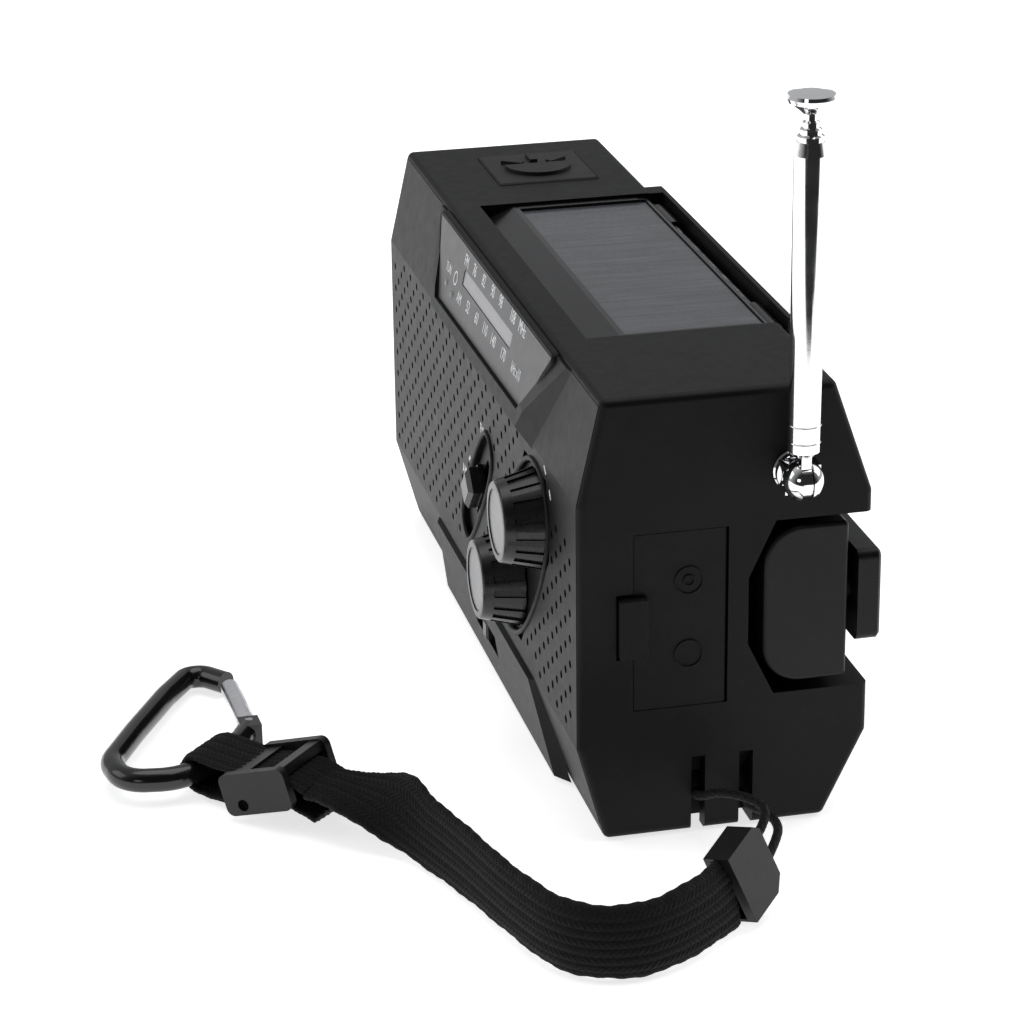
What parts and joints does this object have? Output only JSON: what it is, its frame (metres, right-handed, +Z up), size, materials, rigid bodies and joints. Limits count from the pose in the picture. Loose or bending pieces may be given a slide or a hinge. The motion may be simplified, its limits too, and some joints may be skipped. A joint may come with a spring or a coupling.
{
  "type": "emergency radio",
  "caption": "Hand-crank radio: perforated front, sloped dial, two knobs, hinged solar lid, telescopic aerial, folding crank, torch end and a wrist strap with a carabiner.",
  "frame": {"origin": "middle of the flat underside of the housing, on the surface it stands on", "axes": "+X along the housing to the end with the aerial and the ports, -Y out of the front with the speaker grille, +Z up"},
  "size_m": [0.2093, 0.13, 0.1289],
  "materials": {
    "shell_plastic": "soft-touch black, fine grain",
    "panel_plastic": "moulded black, fine grain",
    "knob_plastic": "gloss black",
    "dial_grey": "satin grey with a printed scale",
    "cap_grey": "satin disc",
    "clear_plastic": "clear",
    "cream_plastic": "pale, smooth",
    "button_rubber": "soft moulded",
    "door_rubber": "soft moulded",
    "crank_plastic": "moulded black",
    "lid_plastic": "semi-gloss black",
    "solar_blue": "laminated cell with fine lines",
    "chrome": "polished",
    "pin_steel": "bright",
    "gear_plastic": "natural nylon",
    "inner_black": "plain",
    "board_green": "solder mask",
    "ferrite": "ground",
    "cell_wrap": "shrink sleeve",
    "rotor_iron": "plain",
    "paper_cone": "pressed paper",
    "reflector": "bright-coated bowl",
    "webbing": "braided black webbing",
    "cord_black": "braided cord",
    "strap_plastic": "moulded black",
    "carabiner_black": "gloss black",
    "gate_silver": "bright"
  },
  "bodies": {
    "housing": {"main_shell": "shell_plastic", "front_panel": "panel_plastic", "dial_plate": "dial_grey", "dial_lens": "clear_plastic", "volume_pot": "inner_black", "tuning_capacitor": "inner_black", "band_switch": "inner_black", "lamp_switch": "inner_black", "lid_hinge_pin": "pin_steel", "base_pads": "door_rubber", "reading_lamp_diffuser": "cream_plastic", "usb_socket": "pin_steel", "charge_socket": "pin_steel", "antenna_mount": "chrome", "gear_plate": "inner_black", "generator_case": "inner_black", "speaker_frame": "rotor_iron", "speaker_cone": "paper_cone", "main_board": "board_green", "ferrite_aerial": "ferrite", "battery_cell": "cell_wrap", "battery_holder": "inner_black", "torch_bezel": "knob_plastic", "torch_lens": "clear_plastic", "torch_reflector": "reflector", "torch_led": "cream_plastic", "housing_screws": "pin_steel", "strap_webbing": "webbing", "strap_cord": "cord_black", "strap_clip": "strap_plastic", "strap_buckle": "strap_plastic", "carabiner_hook": "carabiner_black", "carabiner_rivet": "pin_steel"},
    "antenna_base": {"antenna_knuckle": "chrome"},
    "antenna_1": {"antenna_tube_1": "chrome"},
    "antenna_2": {"antenna_tube_2": "chrome"},
    "antenna_3": {"antenna_tube_3": "chrome"},
    "antenna_4": {"antenna_tube_4": "chrome"},
    "antenna_5": {"antenna_tube_5": "chrome"},
    "volume": {"volume_knob": "knob_plastic", "volume_knob_cap": "cap_grey", "volume_pot_shaft": "pin_steel"},
    "tuning": {"tuning_knob": "knob_plastic", "tuning_knob_cap": "cap_grey", "tuning_capacitor_shaft": "pin_steel"},
    "pointer": {"dial_pointer": "cream_plastic"},
    "band_selector": {"band_slider": "knob_plastic"},
    "mode_selector": {"mode_slider": "knob_plastic"},
    "lamp_key": {"lamp_button": "button_rubber"},
    "lid": {"solar_lid": "lid_plastic", "solar_cell": "solar_blue"},
    "door": {"port_door": "door_rubber"},
    "crank_base": {"crank_hub": "crank_plastic", "crank_hinge_pin": "pin_steel", "hub_gear": "gear_plastic"},
    "crank_lever": {"crank_arm": "crank_plastic"},
    "crank_handle": {"crank_grip": "crank_plastic"},
    "idler": {"idler_gear": "gear_plastic"},
    "rotor": {"generator_rotor": "rotor_iron"},
    "gate": {"carabiner_gate": "gate_silver"}
  },
  "joints": [
    {"name": "antenna_swivel", "type": "hinge", "parent": "housing", "child": "antenna_base", "pos_m": [0.076, 0.0114, 0.064], "axis": [1, 0, 0], "range_deg": [-90, 90]},
    {"name": "antenna_tilt", "type": "hinge", "parent": "antenna_base", "child": "antenna_1", "pos_m": [0.083, 0.0114, 0.064], "axis": [0, 1, 0], "range_deg": [0, 90]},
    {"name": "antenna_slide_2", "type": "slide", "parent": "antenna_1", "child": "antenna_2", "axis": [0, 0, 1], "range_m": [0, 0.044]},
    {"name": "antenna_slide_3", "type": "slide", "parent": "antenna_2", "child": "antenna_3", "axis": [0, 0, 1], "range_m": [0, 0.044]},
    {"name": "antenna_slide_4", "type": "slide", "parent": "antenna_3", "child": "antenna_4", "axis": [0, 0, 1], "range_m": [0, 0.044]},
    {"name": "antenna_slide_5", "type": "slide", "parent": "antenna_4", "child": "antenna_5", "axis": [0, 0, 1], "range_m": [0, 0.044]},
    {"name": "volume_turn", "type": "hinge", "parent": "housing", "child": "volume", "pos_m": [0.0485, -0.0285, 0.0478], "axis": [0, 1, 0], "range_deg": [-135, 135]},
    {"name": "tuning_turn", "type": "hinge", "parent": "housing", "child": "tuning", "pos_m": [0.0309, -0.0285, 0.03], "axis": [0, 1, 0], "range_deg": [-28.2, 272.4]},
    {"name": "pointer_slide", "type": "slide", "parent": "housing", "child": "pointer", "axis": [1, 0, 0], "range_m": [-0.00301, 0.02901]},
    {"name": "band_slide", "type": "slide", "parent": "housing", "child": "band_selector", "axis": [0.7071, 0, 0.7071], "range_m": [-0.0045, 0.0045]},
    {"name": "mode_slide", "type": "slide", "parent": "housing", "child": "mode_selector", "axis": [1, 0, 0], "range_m": [-0.003, 0.003]},
    {"name": "lamp_press", "type": "slide", "parent": "housing", "child": "lamp_key", "axis": [0, 0, -1], "range_m": [0, 0.001], "stiffness_N_per_m": 400, "springref_m": -0.0001},
    {"name": "lid_hinge", "type": "hinge", "parent": "housing", "child": "lid", "pos_m": [0.0055, 0.0186, 0.0756], "axis": [-1, 0, 0], "range_deg": [0, 75]},
    {"name": "door_hinge", "type": "hinge", "parent": "housing", "child": "door", "pos_m": [0.07715, -0.0004, 0.03925], "axis": [0, 0, 1], "range_deg": [0, 90]},
    {"name": "crank_turn", "type": "hinge", "parent": "housing", "child": "crank_base", "pos_m": [0, 0.0242, 0.0397], "axis": [0, 1, 0], "range_deg": [-0.8, 0.8]},
    {"name": "crank_unfold", "type": "hinge", "parent": "crank_base", "child": "crank_lever", "pos_m": [0.009, 0.0268, 0.0397], "axis": [0, 0, 1], "range_deg": [0, 180]},
    {"name": "grip_spin", "type": "hinge", "parent": "crank_lever", "child": "crank_handle", "pos_m": [0.07, 0.014, 0.0397], "axis": [0, 1, 0], "range_deg": [-2, 2]},
    {"name": "idler_spin", "type": "hinge", "parent": "housing", "child": "idler", "pos_m": [-0.021, 0.0115, 0.0397], "axis": [0, 1, 0], "range_deg": [-2.57, 2.57]},
    {"name": "rotor_spin", "type": "hinge", "parent": "housing", "child": "rotor", "pos_m": [-0.021, 0.0095, 0.0229], "axis": [0, 1, 0], "range_deg": [-8.2, 8.2]},
    {"name": "gate_hinge", "type": "hinge", "parent": "housing", "child": "gate", "pos_m": [0.0264, -0.07316, 0.00334], "axis": [-0.0384, 0, 0.9993], "range_deg": [0, 25], "stiffness_Nm_per_rad": 0.02, "springref_deg": -2.86}
  ],
  "couplings": [
    {"joint": "pointer_slide", "follows": "tuning_turn", "m_per_rad": 0.0061},
    {"joint": "idler_spin", "follows": "crank_turn", "ratio": -3.2},
    {"joint": "rotor_spin", "follows": "crank_turn", "ratio": 10.24}
  ]
}
